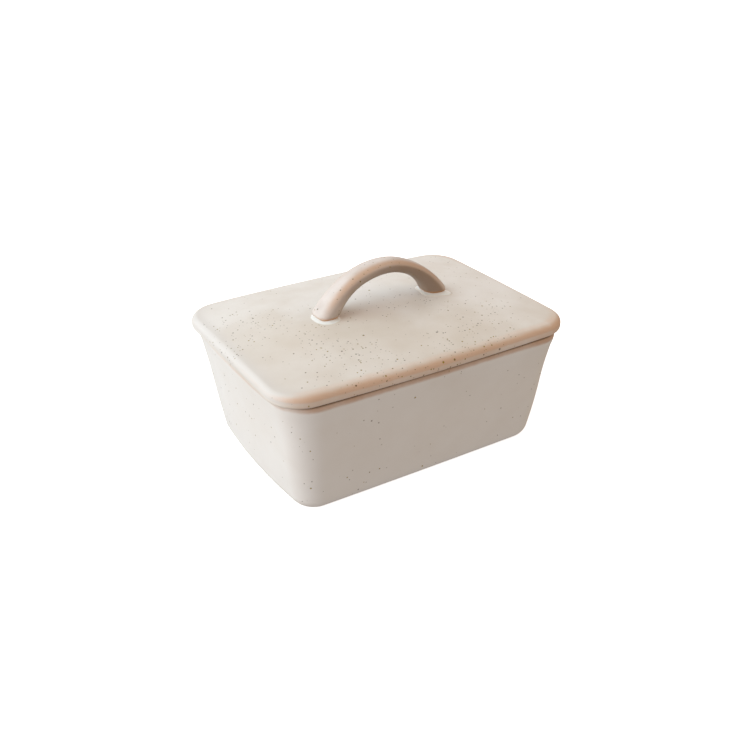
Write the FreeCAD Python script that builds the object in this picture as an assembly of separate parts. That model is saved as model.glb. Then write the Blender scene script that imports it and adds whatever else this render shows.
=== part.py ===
# Lidded stoneware butter crock.
# All lengths in millimetres.  The origin is the centre of the plane the crock stands on.
# +X runs along the long side, +Y across the width, +Z up.
import FreeCAD, Part
import math
import os

# ------------------------------------------------------------------ lid plate
lid_length = 160.6            # overall, along X
lid_width = 116.4             # overall, along Y
lid_corner_radius = 17.0      # plan radius of the four corners
lid_side_bow = 1.4            # how far each long side swells beyond its corners
lid_end_bow = 0.15            # the same for the two ends
lid_thickness = 5.8           # height of the edge, also about the clay thickness at the middle
lid_crown = 6.0               # height of the soft crown above the edge
lid_crown_power_x = 3.0       # how late the crown falls away towards the ends
lid_crown_power_y = 2.0       # the same towards the long sides
lid_top_edge_radius = 3.1
lid_bottom_edge_radius = 1.7
lid_hollow_step = 0.8         # least depth of the hollow underneath

# ------------------------------------------------------------------ crock body
lid_end_overhang = 1.8        # lid beyond the crock rim at each end
lid_side_overhang = 1.6       # lid beyond the crock rim at each long side
crock_height = 62.3           # foot plane to rim
crock_rim_corner_radius = 16.8
crock_rim_side_bow = 0.3
crock_rim_end_bow = 1.2
crock_foot_corner_radius = 11.5
crock_foot_side_bow = 0.3
crock_foot_end_bow = 1.9
crock_end_draft = 8.7         # each end wall leans in this much at the foot
crock_side_draft = 8.9        # each side wall leans in this much at the foot
crock_wall = 5.5
crock_floor = 6.5
rim_outer_radius = 2.2
rim_inner_radius = 1.1
foot_edge_radius = 7.0
inner_floor_radius = 9.0
inner_corner_radius_loss = 3.5   # inner plan corners are tighter by this much
foot_ring_width = 6.0
foot_recess_depth = 1.2
foot_recess_edge_radius = 0.8
least_corner_radius = 2.0     # no plan corner gets tighter than this

# ------------------------------------------------------------------ locating flange
flange_depth = 7.0
flange_thickness = 4.5
flange_clearance = 1.5        # gap to the crock wall, all round
flange_edge_radius = 1.3
flange_outer_radius_loss = 4.5   # plan corners tighter than the wall's by this much
flange_inner_radius_loss = 7.5

# ------------------------------------------------------------------ handle
handle_span = 62.8            # foot centre to foot centre
handle_rise = 19.3            # centre line above the crown at mid arch
handle_offset = 2.8           # the handle sits this far along +X from the middle
handle_yaw = 0.5             # degrees about Z
handle_apex_width = 12.9
handle_apex_thickness = 6.6
handle_foot_width = 14.4
handle_foot_thickness = 12.0
handle_flare_power = 3.5      # how late the strap widens towards its feet
handle_squareness = 2.6       # 2 is an ellipse, more is squarer
handle_root = 3.2             # length of the leg carried below the crown before trimming
collar_spread = 1.7           # how far the collar reaches beyond the foot
collar_height = 2.2

# ------------------------------------------------------------------ how surfaces are laid out
spare = 5.0                   # how far a cutting shape runs past the face it cuts
crown_reach = 1.12            # the crown surface is carried this far past the slab's sides
crown_steps_x = 8             # spline points from the middle to an end
crown_steps_y = 6             # spline points from the middle to a side
strap_steps = 7               # sections from the top of the arch to a foot
section_points = 24
tolerance = 0.01

# ------------------------------------------------------------------ derived
crock_rim_length = lid_length - 2.0 * lid_end_overhang
crock_rim_width = lid_width - 2.0 * lid_side_overhang
crock_foot_length = crock_rim_length - 2.0 * crock_end_draft
crock_foot_width = crock_rim_width - 2.0 * crock_side_draft
lid_base = crock_height
lid_edge_top = lid_base + lid_thickness
flange_outer_inset = crock_wall + flange_clearance
flange_inner_inset = flange_outer_inset + flange_thickness
flange_bottom = crock_height - flange_depth


def blend(a, b, t):
    """Value at fraction t of the way from a to b."""
    return a + (b - a) * t


def arc_between(start, end, centre, radius):
    """Arc from start to end that bulges away from its centre."""
    out = (start + end) * 0.5 - centre
    out.normalize()
    return Part.Arc(start, centre + out * radius, end).toShape()


def outline(length, width, radius, side_bow, end_bow, z):
    """Closed wire at height z: a rectangle of eight tangent arcs, its sides bowed outwards."""
    half_x = length / 2.0
    half_y = width / 2.0
    span_x = half_x - radius
    span_y = half_y - radius
    side_r = (span_x ** 2 + side_bow ** 2) / (2.0 * side_bow)
    end_r = (span_y ** 2 + end_bow ** 2) / (2.0 * end_bow)
    side_c = (0.0, half_y - side_r)
    end_c = (half_x - end_r, 0.0)
    # the corner circle touches both bowed sides from inside
    dx = end_c[0] - side_c[0]
    dy = end_c[1] - side_c[1]
    gap = math.hypot(dx, dy)
    along = ((side_r - radius) ** 2 - (end_r - radius) ** 2 + gap ** 2) / (2.0 * gap)
    off = math.sqrt((side_r - radius) ** 2 - along ** 2)
    foot = (side_c[0] + along * dx / gap, side_c[1] + along * dy / gap)
    picks = [(foot[0] - off * dy / gap, foot[1] + off * dx / gap),
             (foot[0] + off * dy / gap, foot[1] - off * dx / gap)]
    corner = max(picks, key=lambda p: p[0] + p[1])

    def touch(c, r):
        """Where the corner circle meets the circle round c."""
        n = math.hypot(corner[0] - c[0], corner[1] - c[1])
        return (c[0] + (corner[0] - c[0]) / n * r, c[1] + (corner[1] - c[1]) / n * r)

    on_side = touch(side_c, side_r)
    on_end = touch(end_c, end_r)
    corners = []
    for sx, sy in [(1, 1), (-1, 1), (-1, -1), (1, -1)]:
        at_end = FreeCAD.Vector(sx * on_end[0], sy * on_end[1], z)
        at_side = FreeCAD.Vector(sx * on_side[0], sy * on_side[1], z)
        centre = FreeCAD.Vector(sx * corner[0], sy * corner[1], z)
        corners.append((at_end, at_side, centre) if sx * sy > 0 else (at_side, at_end, centre))
    edges = []
    for i, (start, stop, centre) in enumerate(corners):
        following = corners[(i + 1) % 4][0]
        edges.append(arc_between(start, stop, centre, radius))
        if i % 2 == 0:
            middle = FreeCAD.Vector(0.0, math.copysign(side_c[1], side_c[1] * stop.y), z)
            edges.append(arc_between(stop, following, middle, side_r))
        else:
            middle = FreeCAD.Vector(math.copysign(end_c[0], end_c[0] * stop.x), 0.0, z)
            edges.append(arc_between(stop, following, middle, end_r))
    return Part.Wire(edges)


def wall_outline(z, inset, radius_loss=0.0):
    """Outline of the drafted crock wall at height z, moved inwards by inset."""
    t = z / crock_height
    radius = blend(crock_foot_corner_radius, crock_rim_corner_radius, t) - radius_loss
    return outline(
        blend(crock_foot_length, crock_rim_length, t) - 2.0 * inset,
        blend(crock_foot_width, crock_rim_width, t) - 2.0 * inset,
        max(radius, least_corner_radius),
        blend(crock_foot_side_bow, crock_rim_side_bow, t),
        blend(crock_foot_end_bow, crock_rim_end_bow, t),
        z)


def wall_loft(low, high, inset, radius_loss=0.0):
    """Solid between two heights whose sides lie at one inset from the crock wall."""
    return Part.makeLoft([wall_outline(low, inset, radius_loss),
                          wall_outline(high, inset, radius_loss)], True, True)


def prism(wire, height):
    """Solid standing on a flat wire."""
    return Part.Face(wire).extrude(FreeCAD.Vector(0, 0, height))


def flat_edges(shape, z):
    """Edges that lie wholly in the plane at height z."""
    return [e for e in shape.Edges
            if abs(e.BoundBox.ZMin - z) < tolerance and abs(e.BoundBox.ZMax - z) < tolerance]


def rim_edges(shape, outside):
    """The edges of the flat rim's outer loop, or of its inner loop."""
    land = [f for f in shape.Faces if f.BoundBox.ZMin > crock_height - tolerance][0]
    outer_loop = land.OuterWire
    inner_loop = [w for w in land.Wires if not w.isSame(outer_loop)][0]
    return outer_loop.Edges if outside else inner_loop.Edges


def crown_share(u, v):
    """The crown's rise, 1 in the middle and 0 along the sides, at u and v from -1 to 1."""
    return (1.0 - abs(u) ** lid_crown_power_x) * (1.0 - abs(v) ** lid_crown_power_y)


def pillow(length, width, edge_z, crown, bottom_z):
    """Solid from bottom_z up to a soft crown that falls to edge_z along a rectangle's sides."""
    rows = []
    for i in range(-crown_steps_x, crown_steps_x + 1):
        u = crown_reach * i / crown_steps_x
        row = []
        for j in range(-crown_steps_y, crown_steps_y + 1):
            v = crown_reach * j / crown_steps_y
            row.append(FreeCAD.Vector(u * length / 2.0, v * width / 2.0,
                                      edge_z + crown * crown_share(u, v)))
        rows.append(row)
    surface = Part.BSplineSurface()
    surface.interpolate(rows)
    deep = surface.toShape().extrude(FreeCAD.Vector(0, 0, -2.0 * (edge_z + crown - bottom_z)))
    box = Part.makeBox(2.0 * length, 2.0 * width, edge_z + 2.0 * crown - bottom_z,
                       FreeCAD.Vector(-length, -width, bottom_z))
    return deep.common(box)


# ------------------------------------------------------------------ crock body
outer = wall_loft(0.0, crock_height, 0.0)
outer = outer.makeFillet(foot_edge_radius, flat_edges(outer, 0.0))

cavity = wall_loft(crock_floor, crock_height + spare, crock_wall, inner_corner_radius_loss)
cavity = cavity.makeFillet(inner_floor_radius, flat_edges(cavity, crock_floor))

recess_inset = foot_edge_radius + foot_ring_width
recess = prism(outline(crock_foot_length - 2.0 * recess_inset,
                       crock_foot_width - 2.0 * recess_inset,
                       max(crock_foot_corner_radius - foot_ring_width, least_corner_radius),
                       crock_foot_side_bow, crock_foot_end_bow, -spare),
               spare + foot_recess_depth)
recess = recess.makeFillet(foot_recess_edge_radius, flat_edges(recess, foot_recess_depth))

crock_body = outer.cut(cavity).cut(recess)
crock_body = crock_body.makeFillet(rim_outer_radius, rim_edges(crock_body, True))
crock_body = crock_body.makeFillet(rim_inner_radius, rim_edges(crock_body, False))

# ------------------------------------------------------------------ locating flange
lid_locating_flange = wall_loft(
    flange_bottom, crock_height, flange_outer_inset, flange_outer_radius_loss).cut(
    wall_loft(flange_bottom, crock_height, flange_inner_inset, flange_inner_radius_loss))
lid_locating_flange = lid_locating_flange.makeFillet(
    flange_edge_radius, flat_edges(lid_locating_flange, flange_bottom))

# ------------------------------------------------------------------ lid plate
under_crown = pillow(lid_length, lid_width, lid_edge_top, lid_crown, flange_bottom - spare)
slab = prism(outline(lid_length, lid_width, lid_corner_radius, lid_side_bow, lid_end_bow, lid_base),
             lid_thickness + lid_crown + spare)
plate = slab.common(under_crown)
shoulder_edges = [e for e in plate.Edges if e.BoundBox.ZMin > lid_base + 0.5 * lid_thickness]
plate = plate.makeFillet(lid_top_edge_radius, shoulder_edges)
plate = plate.makeFillet(lid_bottom_edge_radius, flat_edges(plate, lid_base))

hollow_wire = wall_outline(crock_height, flange_inner_inset, flange_inner_radius_loss)
hollow_wire.translate(FreeCAD.Vector(0, 0, -spare))
hollow = prism(hollow_wire, lid_crown + 2.0 * spare).common(
    pillow(crock_rim_length - 2.0 * flange_inner_inset, crock_rim_width - 2.0 * flange_inner_inset,
           lid_base + lid_hollow_step, lid_crown - lid_hollow_step, flange_bottom - spare))
lid_plate = plate.cut(hollow)

# ------------------------------------------------------------------ handle
arch_radius = ((handle_span / 2.0) ** 2 + handle_rise ** 2) / (2.0 * handle_rise)
half_angle = math.asin(handle_span / 2.0 / arch_radius)
yaw = math.radians(handle_yaw)
across = FreeCAD.Vector(-math.sin(yaw), math.cos(yaw), 0.0)
along = FreeCAD.Vector(math.cos(yaw), math.sin(yaw), 0.0)


def foot_height(side):
    """Height of the crown under one foot's centre."""
    x = handle_offset + side * handle_span / 2.0
    return lid_edge_top + lid_crown * crown_share(2.0 * x / lid_length, 0.0)


arch_centre = FreeCAD.Vector(
    handle_offset, 0.0, blend(foot_height(-1), foot_height(1), 0.5) + handle_rise - arch_radius)


def handle_section(angle, grow=0.0):
    """Soft-cornered strap section where the arch has turned by angle from its top."""
    share = min(abs(angle) / half_angle, 1.0) ** handle_flare_power
    half_width = (blend(handle_apex_width, handle_foot_width, share) + grow) / 2.0
    half_thick = (blend(handle_apex_thickness, handle_foot_thickness, share) + grow) / 2.0
    radial = along * math.sin(angle) + FreeCAD.Vector(0, 0, math.cos(angle))
    centre = arch_centre + radial * arch_radius
    power = 2.0 / handle_squareness
    points = []
    for k in range(section_points):
        turn = 2.0 * math.pi * k / section_points
        y = math.copysign(abs(math.cos(turn)) ** power, math.cos(turn)) * half_width
        r = math.copysign(abs(math.sin(turn)) ** power, math.sin(turn)) * half_thick
        points.append(centre + across * y + radial * r)
    curve = Part.BSplineCurve()
    curve.interpolate(points, PeriodicFlag=True)
    return Part.Wire([curve.toShape()])


full_angle = half_angle + handle_root / arch_radius
strap = Part.makeLoft([handle_section(full_angle * i / strap_steps)
                       for i in range(-strap_steps, strap_steps + 1)], True, False)
lid_handle = strap.cut(under_crown)


def collar(side):
    """Coil of clay smoothed round one foot of the handle, thinning out up the leg."""
    # each ring: distance along the leg below the foot, growth as a share of the spread
    rings = [(handle_root, 2.0), (0.0, 2.0), (-0.35 * collar_height, 1.05), (-collar_height, 0.3)]
    wires = [handle_section(side * (half_angle + below / arch_radius), share * collar_spread)
             for below, share in rings]
    return Part.makeLoft(wires, True, False).cut(strap).cut(under_crown)


handle_collar_left = collar(-1.0)
handle_collar_right = collar(1.0)

# ------------------------------------------------------------------ output
nodes = {
    "crock_body": crock_body,
    "lid_plate": lid_plate,
    "lid_locating_flange": lid_locating_flange,
    "lid_handle": lid_handle,
    "handle_collar_left": handle_collar_left,
    "handle_collar_right": handle_collar_right,
}

os.makedirs("parts", exist_ok=True)
for name, shape in nodes.items():
    box = shape.BoundBox
    print(name, "solids", len(shape.Solids), "valid", shape.isValid(), "volume %.1f" % shape.Volume,
          "x %.2f %.2f y %.2f %.2f z %.2f %.2f" % (box.XMin, box.XMax, box.YMin, box.YMax,
                                                  box.ZMin, box.ZMax))
    shape.exportStep("parts/%s.step" % name)
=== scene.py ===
"""A lidded stoneware butter crock: its glazed skins, handle, glaze pools, floor, light and camera."""

import logging
import math
from collections.abc import Callable
from dataclasses import astuple, dataclass, field
from enum import Enum

import bmesh
import bpy
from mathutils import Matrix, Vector, noise


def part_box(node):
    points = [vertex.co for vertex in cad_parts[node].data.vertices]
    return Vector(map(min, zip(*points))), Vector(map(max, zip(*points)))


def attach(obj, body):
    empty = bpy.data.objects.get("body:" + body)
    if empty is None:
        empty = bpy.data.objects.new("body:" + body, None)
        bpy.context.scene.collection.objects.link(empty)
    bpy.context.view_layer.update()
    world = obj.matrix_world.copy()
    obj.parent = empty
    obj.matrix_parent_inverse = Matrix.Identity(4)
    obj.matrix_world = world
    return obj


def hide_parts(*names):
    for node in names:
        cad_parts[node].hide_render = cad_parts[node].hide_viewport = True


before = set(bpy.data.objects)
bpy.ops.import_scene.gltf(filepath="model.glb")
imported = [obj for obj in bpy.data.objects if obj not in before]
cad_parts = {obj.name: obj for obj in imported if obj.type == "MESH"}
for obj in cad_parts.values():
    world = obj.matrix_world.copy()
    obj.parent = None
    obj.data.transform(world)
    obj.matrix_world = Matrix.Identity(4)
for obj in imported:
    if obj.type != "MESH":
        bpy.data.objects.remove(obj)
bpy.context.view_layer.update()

MM = 0.001
# The share of the tan break that each facing keeps: the -X end, lit by the lamps, keeps almost none,
# which is painted light.
KEPT_LEFT, KEPT_RIGHT = 0.05, 0.8
KEPT_FRONT, KEPT_BACK = 0.95, 0.6
KEPT_CORNER = 0.3
LOG = logging.getLogger("butter_crock")


class Body(Enum):
    """The two bodies that the frame moves."""

    CROCK = "crock"
    LID = "lid"


class Slot(Enum):
    """The record's finishes."""

    CROCK_GLAZE = "crock_glaze"
    LID_GLAZE = "lid_glaze"
    BARE = "bare_stoneware"
    POOLED = "pooled_glaze"


# ---------------------------------------------------------------- rings and skins


@dataclass
class Ring:
    """One closed line of points round a piece, with how the glaze lies on it.

    Attributes:
        points: the line's points, in millimetres, the first not repeated.
        thin: from 0, full glaze, to 1, glaze so thin that the clay's colour shows.
        bare: from 0, glazed, to 1, bare fired clay.
        crease: from 0 to 1, how much of the brown line of creases lies here: thin glaze darkened with
            painted shade.
        tan_kept: how much of the thinness, and of the brown in creases, each point keeps, or empty for
            all of it.
        lean_and_shade: how much of the glaze's painted shade colour each point has, or empty for none.
    """

    points: list[Vector]
    thin: float = 0.0
    bare: float = 0.0
    crease: float = 0.0
    tan_kept: list[float] = field(default_factory=list)
    lean_and_shade: list[float] = field(default_factory=list)

    def mixed(self, other: "Ring", share: float) -> "Ring":
        """A ring part of the way to another one.

        Args:
            other: the ring at share 1.
            share: from 0 to 1.

        Returns:
            The ring between the two, point by point.
        """
        points = [a.lerp(b, share) for a, b in zip(self.points, other.points)]
        return Ring(points, self.thin, self.bare, 0.0, self.tan_kept)

    def shrunk(self, share: float, height: Callable[[float, float], float]) -> "Ring":
        """The ring drawn in towards the Z axis and laid on a surface.

        Args:
            share: 1 keeps its size and 0 brings it to a point.
            height: the surface's height at a point in plan.

        Returns:
            The smaller ring.
        """
        flat = [(p.x * share, p.y * share) for p in self.points]
        points = [Vector((x, y, height(x, y))) for x, y in flat]
        return Ring(points, self.thin, self.bare, 0.0, self.tan_kept)

    def thinness(self, index: int) -> float:
        """How thin the glaze lies at one point; where little is kept, only the peaks show."""
        if not self.tan_kept:
            return self.thin
        lost = 1 - self.tan_kept[index]
        return max(self.thin - 0.75 * lost, 0.0) * (1 - 0.35 * lost)


@dataclass(frozen=True)
class Outline:
    """A rectangle in plan with bowed sides and round corners.

    Attributes:
        length: overall size along X.
        width: overall size along Y.
        radius: plan radius of its corners.
        side_bow: how far each long side swells between its corners.
        end_bow: the same for the two ends.

    The three step counts are for one quarter, and no corner gets tighter than LEAST_RADIUS.
    """

    length: float
    width: float
    radius: float
    side_bow: float
    end_bow: float

    END_STEPS = 20
    CORNER_STEPS = 18
    SIDE_STEPS = 30
    LEAST_RADIUS = 1.0

    def blended(self, other: "Outline", share: float) -> "Outline":
        """The outline that is a share, from 0 or less to 1 or more, of the way to another one."""
        return Outline(*(between(pair, share) for pair in zip(astuple(self), astuple(other))))

    def inset(self, gap: float, radius_loss: float) -> "Outline":
        """The outline moved in by a gap on every side, with its corner radius cut by radius_loss."""
        return Outline(self.length - 2 * gap, self.width - 2 * gap, self.radius - radius_loss,
                       self.side_bow, self.end_bow)

    def quarter(self) -> list[tuple[Vector, Vector]]:
        """The points and outward normals of the quarter where X and Y are positive.

        Returns:
            Pairs from the middle of the end up to, but not on, the middle of the long side.
        """
        half = Vector((self.length / 2, self.width / 2))
        span = half - Vector((self.radius, self.radius))
        side_r = (span.x ** 2 + self.side_bow ** 2) / (2 * self.side_bow)
        end_r = (span.y ** 2 + self.end_bow ** 2) / (2 * self.end_bow)
        side_c = Vector((0.0, half.y - side_r))
        end_c = Vector((half.x - end_r, 0.0))
        reach_side = side_r - self.radius
        reach_end = end_r - self.radius
        apart = end_c - side_c
        gap = apart.length
        along = (reach_side ** 2 - reach_end ** 2 + gap ** 2) / (2 * gap)
        off = math.sqrt(reach_side ** 2 - along ** 2)
        across = Vector((-apart.y, apart.x)) / gap
        foot = side_c + apart * (along / gap)
        corner = max((foot + across * off, foot - across * off), key=lambda p: p.x + p.y)
        turn_end = math.atan2(corner.y - end_c.y, corner.x - end_c.x)
        turn_side = math.atan2(corner.y - side_c.y, corner.x - side_c.x)
        arcs = ((end_c, end_r, 0.0, turn_end, self.END_STEPS),
                (corner, self.radius, turn_end, turn_side, self.CORNER_STEPS),
                (side_c, side_r, turn_side, math.pi / 2, self.SIDE_STEPS))
        out = []
        for centre, radius, start, stop, steps in arcs:
            for i in range(steps):
                turn = start + (stop - start) * i / steps
                normal = Vector((math.cos(turn), math.sin(turn)))
                out.append((centre + normal * radius, normal))
        out.append((Vector((0.0, half.y)), Vector((0.0, 1.0))))
        return out

    def ring(self, z: float, gap: float = 0.0, thin: float = 0.0, bare: float = 0.0) -> Ring:
        """The whole outline as a ring of points.

        Args:
            z: its height.
            gap: how far inwards it is moved, its corners tightening as they go.
            thin: glaze thinness.
            bare: bare clay.

        Returns:
            The ring, anticlockwise from above, starting on +X.
        """
        quarter = self.inset(gap, min(gap, self.radius - self.LEAST_RADIUS)).quarter()
        signs = ((1, 1, False), (-1, 1, True), (-1, -1, False), (1, -1, True))
        points, tan_kept = [], []
        for sx, sy, back in signs:
            part = quarter[:0:-1] if back else quarter[:-1]
            for point, normal in part:
                points.append(Vector((sx * point.x, sy * point.y, z)))
                tan_kept.append(kept_thin(sx * normal.x, sy * normal.y))
        return Ring(points, thin, bare, 0.0, tan_kept)


def kept_thin(x: float, y: float) -> float:
    """How much of its thinness the glaze keeps on an edge that faces one way: least at the lit -X end,
    where the tan is left out as painted light.

    Args:
        x: the facing's X part, of a unit vector.
        y: its Y part.

    Returns:
        From 0, hardly at all, to 1.
    """
    ends = KEPT_RIGHT if x > 0 else KEPT_LEFT
    sides = KEPT_FRONT if y < 0 else KEPT_BACK
    return ends * x * x + sides * y * y + KEPT_CORNER * abs(x * y)


def arc_steps(count: int) -> list[tuple[float, float]]:
    """Sine and cosine pairs over a quarter turn in count steps, from (0, 1) to (1, 0)."""
    turns = [math.pi / 2 * i / count for i in range(count + 1)]
    return [(math.sin(t), math.cos(t)) for t in turns]


def between(ends: tuple[float, float], share: float) -> float:
    """The value part of the way from the first of a pair to the second."""
    return ends[0] + (ends[1] - ends[0]) * share


def ease(value: float) -> float:
    """Smooth step of a value that is cut to between 0 and 1."""
    v = min(max(value, 0.0), 1.0)
    return v * v * (3 - 2 * v)


def hump(value: float, middle: float, reach: float) -> float:
    """A smooth rise from 0 to 1 and back, centred on the middle."""
    return max(1 - ((value - middle) / reach) ** 2, 0.0) ** 2


def unevenness(point: Vector, size: float, seed: float) -> float:
    """A smooth value from about -1 to 1 that is the same on every run; size is in millimetres."""
    return noise.noise(point / size + Vector((seed, seed * 1.7, -seed)))


def skin(name: str, rings: list[Ring], closed: bool = False) -> bpy.types.Object:
    """A piece whose surface runs through rings, made by shaping and wrapping a grid.

    Args:
        name: the piece's name.
        rings: its rings in order, all with as many points.
        closed: True joins the last ring to the first; otherwise both are ends.

    Returns:
        The finished piece, linked to the scene, shaded smooth.
    """
    wide = len(rings[0].points)
    rows = rings + rings[:1] if closed else rings
    bm = bmesh.new()
    thin = bm.verts.layers.float.new("thin")
    bare = bm.verts.layers.float.new("bare")
    crease = bm.verts.layers.float.new("crease")
    lean_and_shade = bm.verts.layers.float.new("lean_and_shade")
    bmesh.ops.create_grid(bm, x_segments=wide, y_segments=len(rows) - 1, size=1.0)
    bm.verts.ensure_lookup_table()
    for r, ring in enumerate(rows):
        for c in range(wide + 1):
            vert = bm.verts[r * (wide + 1) + c]
            vert.co = ring.points[c % wide] * MM
            vert[thin] = ring.thinness(c % wide)
            vert[bare] = ring.bare
            # Creases are scaled by the tan that each facing keeps: darkest on the shaded front, faint
            # on the lit -X end, painted shade.
            vert[crease] = ring.crease * (ring.tan_kept[c % wide] if ring.tan_kept else 1.0)
            # Painted shade: how far each point takes the glaze's shade colour.
            vert[lean_and_shade] = ring.lean_and_shade[c % wide] if ring.lean_and_shade else 0.0
    bmesh.ops.remove_doubles(bm, verts=bm.verts, dist=1e-7)
    bmesh.ops.dissolve_degenerate(bm, edges=bm.edges, dist=1e-8)
    bmesh.ops.recalc_face_normals(bm, faces=bm.faces)
    mesh = bpy.data.meshes.new(name)
    bm.to_mesh(mesh)
    bm.free()
    mesh.shade_smooth()
    piece = bpy.data.objects.new(name, mesh)
    bpy.context.scene.collection.objects.link(piece)
    return piece


# ---------------------------------------------------------------- finishes


class Graph:
    """A short way to write a material's node graph.

    A speck is full inside SPECK_CORE of its radius and gone past SPECK_RIM. SPECK_SKEW makes most of
    them small, and SPECK_WARP is the size of the swells that bend them, in millimetres.
    """

    SPECK_CORE = 0.55
    SPECK_RIM = 1.25
    SPECK_SKEW = 2.2
    SPECK_WARP = 1.1

    def __init__(self, name: str) -> None:
        """Starts an empty graph.

        Args:
            name: the material's name.
        """
        self.material = bpy.data.materials.new(name)
        self.material.use_nodes = True
        self.nodes = self.material.node_tree.nodes
        self.links = self.material.node_tree.links
        self.shader = self.nodes["Principled BSDF"]
        self.place = self.nodes.new("ShaderNodeTexCoord").outputs["Object"]

    def feed(self, socket: bpy.types.NodeSocket, value: object) -> None:
        """Links or sets one input.

        Args:
            socket: the input.
            value: an output socket, or a number or colour.
        """
        if isinstance(value, bpy.types.NodeSocket):
            self.links.new(value, socket)
        else:
            socket.default_value = value

    def math(self, kind: str, a: object, b: object = 0.0, c: object = 0.0) -> bpy.types.NodeSocket:
        """One Math node.

        Args:
            kind: the operation.
            a: first value.
            b: second value.
            c: third value.

        Returns:
            Its result.
        """
        node = self.nodes.new("ShaderNodeMath")
        node.operation = kind
        for socket, value in zip(node.inputs, (a, b, c)):
            self.feed(socket, value)
        return node.outputs[0]

    def spread(self, value: object, low: object, high: object, out_low: float = 0.0,
               out_high: float = 1.0) -> bpy.types.NodeSocket:
        """Maps a range smoothly to another.

        Args:
            value: what is mapped.
            low: the value that gives out_low.
            high: the value that gives out_high.
            out_low: result at low.
            out_high: result at high.

        Returns:
            The mapped value.
        """
        node = self.nodes.new("ShaderNodeMapRange")
        node.interpolation_type = "SMOOTHSTEP"
        for socket, item in zip(node.inputs, (value, low, high, out_low, out_high)):
            self.feed(socket, item)
        return node.outputs[0]

    def noise(self, size: float, detail: float = 2.0, roughness: float = 0.5,
              shift: float = 0.0) -> bpy.types.NodeSocket:
        """A noise pattern on Object coordinates.

        Args:
            size: the width of one swell, in millimetres.
            detail: octaves.
            roughness: how strong the finer octaves are.
            shift: moves the pattern, so that two of one size differ.

        Returns:
            A value from 0 to 1.
        """
        node = self.nodes.new("ShaderNodeTexNoise")
        self.feed(node.inputs["Vector"], self.shifted(shift))
        node.inputs["Scale"].default_value = 1.0 / (size * MM)
        node.inputs["Detail"].default_value = detail
        node.inputs["Roughness"].default_value = roughness
        return node.outputs[0]

    def shifted(self, shift: float) -> bpy.types.NodeSocket:
        """Object coordinates moved by a distance in metres.

        Args:
            shift: how far, along a slanted line.

        Returns:
            The moved coordinates.
        """
        node = self.nodes.new("ShaderNodeMapping")
        self.feed(node.inputs["Vector"], self.place)
        node.inputs["Location"].default_value = (shift, shift * 0.6, -shift)
        return node.outputs[0]

    def attribute(self, name: str) -> bpy.types.NodeSocket:
        """A value that the mesh carries."""
        node = self.nodes.new("ShaderNodeAttribute")
        node.attribute_name = name
        return node.outputs["Fac"]

    def axis(self, name: str) -> bpy.types.NodeSocket:
        """One Object coordinate, X, Y or Z."""
        node = self.nodes.new("ShaderNodeSeparateXYZ")
        self.feed(node.inputs[0], self.place)
        return node.outputs[name]

    def mix(self, share: object, a: object, b: object) -> bpy.types.NodeSocket:
        """Mixes two colours.

        Args:
            share: 0 gives a and 1 gives b.
            a: first colour.
            b: second colour.

        Returns:
            The mixed colour.
        """
        node = self.nodes.new("ShaderNodeMix")
        node.data_type = "RGBA"
        self.feed(node.inputs["Factor"], share)
        self.feed(node.inputs[6], a)
        self.feed(node.inputs[7], b)
        return node.outputs[2]

    def specks(self, cell: float, small: float, large: float, share: object,
               shift: float) -> tuple[bpy.types.NodeSocket, bpy.types.NodeSocket]:
        """Scattered round specks, at most one in each cell.

        Args:
            cell: the cells' width, in millimetres.
            small: the least radius, in millimetres.
            large: the greatest radius, in millimetres.
            share: the share of cells that hold one.
            shift: moves the pattern.

        Returns:
            The mask, 1 inside a speck, and a random value for each speck.
        """
        warp = self.noise(self.SPECK_WARP, 1.0, 0.5, shift)
        node = self.nodes.new("ShaderNodeTexVoronoi")
        self.feed(node.inputs["Vector"], self.shifted(shift))
        node.inputs["Scale"].default_value = 1.0 / (cell * MM)
        parts = self.nodes.new("ShaderNodeSeparateColor")
        self.feed(parts.inputs[0], node.outputs["Color"])
        here, size, tint = parts.outputs[0], parts.outputs[1], parts.outputs[2]
        away = self.math("MULTIPLY_ADD", self.math("SUBTRACT", warp, 0.5), small / cell,
                         node.outputs["Distance"])
        skewed = self.math("POWER", size, self.SPECK_SKEW)
        radius = self.math("MULTIPLY_ADD", skewed, (large - small) / cell, small / cell)
        inner = self.math("MULTIPLY", radius, self.SPECK_CORE)
        outer = self.math("MULTIPLY", radius, self.SPECK_RIM)
        dot = self.spread(away, inner, outer, 1.0, 0.0)
        return self.math("MULTIPLY", dot, self.math("LESS_THAN", here, share)), tint

    def bump(self, height: object, distance: float, strength: float) -> None:
        """Bends the surface's normal by a height.

        Args:
            height: the height pattern, 0 to 1.
            distance: the depth of the full pattern, in millimetres.
            strength: how much of it is used.
        """
        node = self.nodes.new("ShaderNodeBump")
        node.inputs["Distance"].default_value = distance * MM
        node.inputs["Strength"].default_value = strength
        self.feed(node.inputs["Height"], height)
        self.feed(self.shader.inputs["Normal"], node.outputs[0])

    def set(self, name: str, value: object) -> None:
        """Sets or links one of the shader's own sockets."""
        self.feed(self.shader.inputs[name], value)


Colour = tuple[float, float, float, float]


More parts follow.
